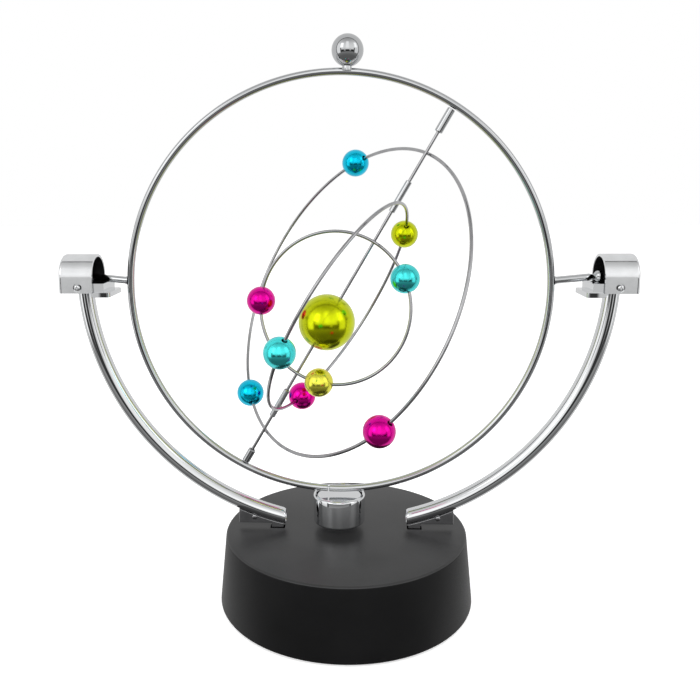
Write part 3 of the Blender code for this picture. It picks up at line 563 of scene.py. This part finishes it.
def bearing(name, side):
    """The saddle with its tongue and trough, the hood over it, and the hood's screw."""
    block_low, block_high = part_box(f"bearing_block_{name}")
    hood_low, hood_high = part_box(f"bearing_hood_{name}")
    mouth, end = sorted((abs(hood_low.x), abs(hood_high.x)))
    tongue_x, saddle_end = sorted((abs(block_low.x), abs(block_high.x)))
    saddle_low = block_high.z - SADDLE_HIGH
    inside = hood_high.y - HOOD_WALL - BEARING_GAP
    xs = sorted((side * (mouth - SADDLE_IN_MOUTH), side * saddle_end))
    made = block(f"bearing_saddle_{name}", (xs[0], -inside, saddle_low), (xs[1], inside, block_high.z))
    half = block_high.y
    inner_half = inside - TONGUE_INSET
    shoulder = mouth - BEARING_GAP
    plan = [(tongue_x + TONGUE_LONG, -inner_half), (tongue_x + TONGUE_LONG, inner_half),
            (shoulder, inner_half), (shoulder, half)]
    plan += arc((tongue_x + TONGUE_CORNER_R, half - TONGUE_CORNER_R), TONGUE_CORNER_R, 90, 180, 6)
    plan += arc((tongue_x + TONGUE_CORNER_R, TONGUE_CORNER_R - half), TONGUE_CORNER_R, 180, 270, 6)
    plan += [(shoulder, -half), (shoulder, -inner_half)]
    flip = Matrix.Diagonal((side, 1, 1, 1))
    lift = Matrix.Translation((0, 0, saddle_low + TONGUE_INSET - TONGUE_THICK / 2))
    combine(made, extruded("tongue", plan, lift @ flip, TONGUE_THICK / 2), 'UNION')
    combine(made, turned("trough", [(TROUGH_R, xs[0] - 0.002), (TROUGH_R, xs[1] + 0.002)],
                         Vector((0, 0, HINGE_Z)), X, 40))
    soften(made, SADDLE_EDGE, 2)
    fit(made, "stand", "chrome", f"bearing_block_{name}")
    hood(name, side, mouth, end, hood_high.y, hood_low.z)
    screw(f"hood_screw_{name}", "chrome", -Y, *HOOD_SCREW_HEAD)


def arch(radius, skirt, inset=0.0):
    """Half circle about the hinge line with straight skirts, across Y and up Z."""
    reach_r = radius - inset
    return arc((0.0, HINGE_Z), reach_r, 0, 180, 41) + [(-reach_r, skirt), (reach_r, skirt)]


def hood(name, side, mouth, end, radius, skirt):
    """The inverted U cover: open towards the ring and below, with a rounded outer end."""
    shape = bmesh.new()
    edge = HOOD_END_ROUNDING
    rows = [(mouth, 0.0), (end - edge - SUPPORT, 0.0)]
    rows += [(end - edge + edge * sin(a), edge * (1 - cos(a))) for a in (radians(15 * i) for i in range(7))]
    loft(shape, [[Vector((side * x, y, z)) for y, z in arch(radius, skirt, inset)] for x, inset in rows])
    cover = solid(f"hood_cover_{name}", shape)
    onto_yz = Matrix(((0, 0, 1, 0), (1, 0, 0, 0), (0, 1, 0, 0), (0, 0, 0, 1)))
    middle = side * ((mouth + end) / 2 - HOOD_WALL)
    tool = extruded("hollow", arch(radius - HOOD_WALL, skirt - 0.003),
                    Matrix.Translation((middle, 0, 0)) @ onto_yz, (end - mouth) / 2)
    combine(cover, tool)
    place = centre_of(f"hood_screw_{name}")
    place.y = -radius
    depths = [(COUNTERBORE_R, -COUNTERBORE_DEEP), (COUNTERBORE_R, 0.001)]
    combine(cover, turned("counterbore", depths, place, -Y, 32))
    soften(cover, HOOD_EDGE)
    fit(cover, "stand", "chrome", f"bearing_hood_{name}", finish="hood_chrome")
    # faces inside the hood and on its end wall get the near-black copy: painted shade in the hollow
    cover.data.materials.append(LOOKS["hood_inside_shade"])
    for face in cover.data.polygons:
        across_y, up = face.center.y, max(0.0, face.center.z - HINGE_Z)
        inward = across_y * face.normal.y + up * face.normal.z < 0
        if inward or side * face.normal.x < -0.9 and side * face.center.x > mouth + HOOD_WALL:
            face.material_index = 1


# ---------------------------------------------------------------- swing ring

RING_CENTRE = Vector((centre_of("magnet_cup").x, 0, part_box("swing_ring")[0].z + RING_R + RING_WIRE_R))


def swing_ring():
    """The open circle of wire; its two cut ends meet over the pod."""
    first = RING_BUTT + RING_BUTT_HALF
    span = 360 - 2 * RING_BUTT_HALF
    count = 260
    lip = CHAMFER / RING_R * 180 / pi
    stations = [(first, RING_WIRE_R - CHAMFER), (first + lip, RING_WIRE_R)]
    stations += [(first + span * i / count, RING_WIRE_R) for i in range(1, count)]
    stations += [(first + span - lip, RING_WIRE_R), (first + span, RING_WIRE_R - CHAMFER)]
    shape = bmesh.new()
    rings = []
    for turn, radius in stations:
        out = cos(radians(turn)) * X + sin(radians(turn)) * Z
        rings.append(ring_of(RING_CENTRE + RING_R * out, out, Y, radius, 24))
    loft(shape, rings)
    fit(solid("ring_wire", shape), "swing", "chrome", "swing_ring", finish="ring_wire")


def ring_pin(name, side):
    """A pin welded to the ring's side, with a turned ball at its tip."""
    node = f"ring_pin_{name}"
    low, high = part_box(node)
    tip_x, root_x = (low.x, high.x) if side < 0 else (high.x, low.x)
    ball = Vector((tip_x - side * PIN_BALL_R, 0, HINGE_Z))
    root = Vector((root_x, 0, low.z + RING_WIRE_R))
    along = (ball - root).normalized()
    root -= along * PIN_SUNK
    length = (ball - root).length
    weld = [(RING_WIRE_R * share, t) for share, t in PIN_WELD]
    neck = [(RING_WIRE_R, length - PIN_NECK_FROM), (PIN_NECK_R, length - PIN_NECK_TO)]
    start = asin(PIN_NECK_R / PIN_BALL_R)
    globe = [(PIN_BALL_R * sin(a), length - PIN_BALL_R * cos(a))
             for a in (start + (pi - start) * i / 14 for i in range(15))]
    pin = turned(f"pin_{name}", weld + neck + globe, root, along, 32)
    fit(pin, "swing", "chrome", node, finish="ring_wire")


def top_ball():
    """The ball soldered on the ring's top, with a flared foot."""
    centre = centre_of("top_ball")
    out = (centre - RING_CENTRE).normalized()
    gap = (centre - RING_CENTRE).length - RING_R - TOP_BALL_SUNK * RING_WIRE_R
    start = asin(TOP_BALL_FOOT_R / TOP_BALL_R) * 0.9
    globe = [(TOP_BALL_R * sin(a), -TOP_BALL_R * cos(a))
             for a in (start + (pi - start) * i / 40 for i in range(41))]
    foot = [(TOP_BALL_FOOT_R * 1.15, -gap), (TOP_BALL_FOOT_R * 0.95, -gap + TOP_BALL_FOOT_HIGH)]
    ball = turned("crown_ball", foot + globe, centre, out, 64)
    fit(ball, "swing", "chrome", "top_ball", finish="ring_wire")


def pod():
    """The magnet's cup with rounded shoulder and bottom, and its slightly sunk cap."""
    low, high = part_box("magnet_cup")
    cap_low, cap_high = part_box("magnet_cap")
    radius = (high.x - low.x) / 2
    place = Vector((RING_CENTRE.x, 0, 0))
    shoulder = arc((radius - POD_SHOULDER_R, high.z - POD_SHOULDER_R), POD_SHOULDER_R, 90, 0, 8)
    bottom = arc((radius - POD_EDGE_R, low.z + POD_EDGE_R), POD_EDGE_R, 0, -90, 9)
    inner = radius - POD_WALL
    profile = [(0, low.z + POD_WALL), (inner, low.z + POD_WALL), (inner, high.z - POD_LIP),
               (inner + POD_LIP, high.z)]
    cup = turned("pod_cup", profile + shoulder + bottom + [(0, low.z)], place, corners=96)
    fit(cup, "swing", "chrome", "magnet_cup")
    cap_r = (cap_high.x - cap_low.x) / 2
    face = [(0, cap_low.z), (cap_r, cap_low.z), (cap_r, cap_high.z - CAP_EDGE),
            (cap_r - CAP_EDGE, cap_high.z), (0, cap_high.z)]
    cap = turned("pod_cap", face, place, corners=96)
    fit(cap, "swing", "chrome", "magnet_cap")


# ---------------------------------------------------------------- orbits

def sleeve(node, body):
    """A cut length of tube about the tilted axis, its ends slightly chamfered."""
    low, high, bore, radius = reach(node, AXIS_POINT, AXIS)
    profile = [(bore, low), (radius - CHAMFER, low), (radius, low + CHAMFER), (radius, high - CHAMFER),
               (radius - CHAMFER, high), (bore, high)]
    made = turned(f"{node}_tube", profile, AXIS_POINT, AXIS, 32, closed=True)
    fit(made, body, "chrome", node, finish="ring_wire")


def shaft(node, body):
    """A straight wire about the tilted axis with rounded ends."""
    low, high, _, radius = reach(node, AXIS_POINT, AXIS)
    profile = [(radius - CHAMFER, low), (radius, low + CHAMFER), (radius, high - CHAMFER),
               (radius - CHAMFER, high)]
    made = turned(f"{node}_rod", profile, AXIS_POINT, AXIS, 24)
    fit(made, body, "chrome", node, finish="thin_wire")


def orbit_wire(prefix):
    """A closed circle of thin wire, welded to its sleeve or shaft where it crosses the axis."""
    node = f"{prefix}_orbit_wire"
    points = np.array([v.co for v in frame["nodes"][node].data.vertices])
    middle = points.mean(axis=0)
    normal = np.linalg.svd(points - middle, full_matrices=False)[2][2]
    flat = points - middle - np.outer((points - middle) @ normal, normal)
    radius = float(np.linalg.norm(flat, axis=1).mean())
    middle, normal = Vector(middle), Vector(normal).normalized()
    start, square = across(normal)
    count = 220
    shape = bmesh.new()
    rings = []
    for i in range(count):
        turn = 2 * pi * i / count
        out = cos(turn) * start + sin(turn) * square
        rings.append(ring_of(middle + radius * out, out, normal, WIRE_R, 16))
    loft(shape, rings, closed=True)
    wire = solid(f"{prefix}_orbit_hoop", shape)
    to_axis = AXIS_POINT - middle
    to_axis -= to_axis.dot(AXIS) * AXIS
    beside = to_axis.dot(normal) * normal
    slide = to_axis - beside
    for end in (-1, 1):
        crossing = middle + slide + end * sqrt(radius ** 2 - slide.length_squared) * AXIS
        append(wire, weld_spot(crossing + WELD_PLACE * beside, AXIS.cross(normal)))
    fit(wire, f"{prefix}_orbit", "chrome", node, finish="thin_wire")
    return middle, normal


def weld_spot(centre, along):
    """The small rounded bead of weld metal between a wire and its shaft."""
    profile = [(WELD_R * sin(a), -WELD_LONG * cos(a)) for a in (pi * i / 12 for i in range(13))]
    return turned("weld", profile, centre, along, 16)


def bead(node, body, slot, radius, bore, along):
    """A plated ball with a straight bore whose mouths are rounded."""
    centre = centre_of(node)
    lip = BORE_LIP_R
    start = asin((bore + lip) / (radius - lip))
    mouth_z = (radius - lip) * cos(start)
    lower = [(bore + lip * (1 - cos(a)), -mouth_z - lip * sin(a))
             for a in (radians(22.5 * i) for i in range(4))]
    globe = [(radius * sin(a), -radius * cos(a))
             for a in (start + (pi - 2 * start) * i / 48 for i in range(49))]
    upper = [(r, -t) for r, t in reversed(lower)]
    made = turned(f"{node}_ball", lower + globe + upper, centre, along, 72, closed=True, sharp=60)
    fit(made, body, slot, node)


def orbits():
    """The three wires with their beads, the sun, and what turns on the tilted axis."""
    for prefix in ("outer", "middle", "inner"):
        body = f"{prefix}_orbit"
        middle, normal = orbit_wire(prefix)
        for node in frame["record"]["behaviour"]["bodies"][body]:
            if "planet" not in node:
                continue
            out = centre_of(node) - middle
            colour = node.split("_")[2]
            bead(node, body, f"{colour}_bead", PLANET_R, PLANET_BORE_R, normal.cross(out).normalized())
    bead("sun", "inner_orbit", "lime_bead", SUN_R, SUN_BORE_R, AXIS)
    for end in ("upper", "lower"):
        sleeve(f"axis_sleeve_{end}", "swing")
        sleeve(f"middle_sleeve_{end}", "middle_orbit")
        shaft(f"stub_shaft_{end}", "outer_orbit")
    shaft("inner_shaft", "inner_orbit")


def dress_hidden_nodes():
    """Materials for the CAD nodes that are shown as they are."""
    slots = {row["node"]: row["material_slot"] for row in frame["record"]["subparts"]}
    for name, node in frame["nodes"].items():
        if not node.hide_render:
            node.data.materials.clear()
            node.data.materials.append(LOOKS[slots[name]])


# ---------------------------------------------------------------- studio

def maths(tree, operation, first, second=None):
    """A Math node's output; each input is a socket or a number."""
    node = tree.nodes.new("ShaderNodeMath")
    node.operation = operation
    for socket, value in zip(node.inputs, (first, second)):
        if value is None:
            continue
        if isinstance(value, (int, float)):
            socket.default_value = value
        else:
            tree.links.new(value, socket)
    return node.outputs[0]


def step_up(tree, value, middle, soft):
    """Rises smoothly from 0 to 1 as the value passes the middle."""
    node = tree.nodes.new("ShaderNodeMapRange")
    node.interpolation_type = 'SMOOTHSTEP'
    node.inputs["From Min"].default_value = middle - soft
    node.inputs["From Max"].default_value = middle + soft
    tree.links.new(value, node.inputs["Value"])
    return node.outputs["Result"]


def window(tree, value, low, high, soft):
    """1 between low and high with soft ends, 0 elsewhere."""
    return maths(tree, 'SUBTRACT', step_up(tree, value, low, soft), step_up(tree, value, high, soft))


def toned(tree, below, tone, factor):
    """Mixes a grey tone over the tones below it."""
    node = tree.nodes.new("ShaderNodeMix")
    node.inputs[3].default_value = tone
    tree.links.new(factor, node.inputs[0])
    tree.links.new(below, node.inputs[2])
    return node.outputs[0]


def studio_world():
    """A photo studio seen from the toy: bright behind, floor, dark horizon, panels and ceiling."""
    world = bpy.data.worlds.new("studio")
    bpy.context.scene.world = world
    world.use_nodes = True
    tree = world.node_tree
    place = tree.nodes.new("ShaderNodeTexCoord")
    parts = tree.nodes.new("ShaderNodeSeparateXYZ")
    tree.links.new(place.outputs["Generated"], parts.inputs["Vector"])
    towards = maths(tree, 'MULTIPLY', parts.outputs["Y"], -1.0)
    azimuth = maths(tree, 'DEGREES', maths(tree, 'ARCTAN2', parts.outputs["X"], towards))
    elevation = maths(tree, 'DEGREES', maths(tree, 'ARCSINE', parts.outputs["Z"]))
    height = tree.nodes.new("ShaderNodeMapRange")
    height.inputs["From Min"].default_value = -90.0
    height.inputs["From Max"].default_value = 90.0
    tree.links.new(elevation, height.inputs["Value"])
    room = tree.nodes.new("ShaderNodeValToRGB")
    tree.links.new(height.outputs["Result"], room.inputs["Fac"])
    ramp = room.color_ramp
    while len(ramp.elements) < len(ROOM_TONES):
        ramp.elements.new(0.5)
    for element, (angle, tone) in zip(ramp.elements, ROOM_TONES):
        element.position = (angle + 90) / 180
        element.color = (tone, tone, tone, 1)
    tones = room.outputs["Color"]
    for tone, left, right, low, high, soft in PANELS:
        across_it = window(tree, azimuth, left, right, soft)
        up_it = window(tree, elevation, low, high, soft)
        tones = toned(tree, tones, tone, maths(tree, 'MULTIPLY', across_it, up_it))
    tones = toned(tree, tones, SEAM, step_up(tree, parts.outputs["Y"], *SEAM_EDGE))
    tones = toned(tree, tones, BACKDROP, step_up(tree, parts.outputs["Y"], *BACKDROP_EDGE))
    seen = tree.nodes.new("ShaderNodeLightPath")
    tones = toned(tree, tones, 1.0, seen.outputs["Is Camera Ray"])
    tree.links.new(tones, tree.nodes["Background"].inputs["Color"])


def softbox(name, azimuth, elevation, size, power):
    """A square area light that faces the middle of the toy, unseen in reflections."""
    data = bpy.data.lights.new(name, 'AREA')
    data.shape = 'SQUARE'
    data.size = size
    data.energy = power
    light = bpy.data.objects.new(name, data)
    a, e = radians(azimuth), radians(elevation)
    back = Vector((sin(a) * cos(e), -cos(a) * cos(e), sin(e)))
    aim = (cad_low + cad_high) / 2
    light.location = aim + LIGHT_DISTANCE * back
    light.rotation_euler = back.to_track_quat('Z', 'Y').to_euler()
    light.visible_glossy = False
    bpy.context.scene.collection.objects.link(light)


def floor():
    """The pale table top; mirrors see the studio around it instead."""
    shape = bmesh.new()
    bmesh.ops.create_grid(shape, x_segments=8, y_segments=8, size=FLOOR_HALF)
    plane = solid("table_top", shape)
    plane.location.z = -FLOOR_DROP
    paint = look("pale_table", (0.92, 0.92, 0.92), 0.6, 0.0, spread=0.01, patch=3.0)
    shader = paint.node_tree.nodes["Principled BSDF"]
    shader.inputs["Emission Color"].default_value = (1, 1, 1, 1)
    shader.inputs["Emission Strength"].default_value = FLOOR_GLOW
    plane.data.materials.append(paint)
    plane.visible_glossy = False


def camera():
    """The photograph's angle: a little right of the middle, looking down at about nine degrees."""
    data = bpy.data.cameras.new("camera")
    data.lens = LENS
    data.sensor_width = 36.0
    data.shift_x, data.shift_y = SHIFT
    data.clip_start = 0.01
    made = bpy.data.objects.new("camera", data)
    yaw, pitch = radians(YAW), radians(PITCH)
    forward = Vector((-sin(yaw) * cos(pitch), cos(yaw) * cos(pitch), -sin(pitch)))
    turn = forward.to_track_quat('-Z', 'Y') @ Quaternion((0, 0, 1), radians(ROLL))
    made.rotation_mode = 'QUATERNION'
    made.rotation_quaternion = turn
    made.location = CAMERA_PLACE
    bpy.context.scene.collection.objects.link(made)
    bpy.context.scene.camera = made


base()
for arm_name, arm_side in SIDES:
    arm_tube(arm_name, arm_side)
    arm_foot(arm_name, arm_side)
    bearing(arm_name, arm_side)
    ring_pin(arm_name, arm_side)
swing_ring()
top_ball()
pod()
orbits()
dress_hidden_nodes()
studio_world()
for box in SOFTBOXES:
    softbox(*box)
floor()
camera()
bpy.context.scene.view_settings.view_transform = 'Standard'
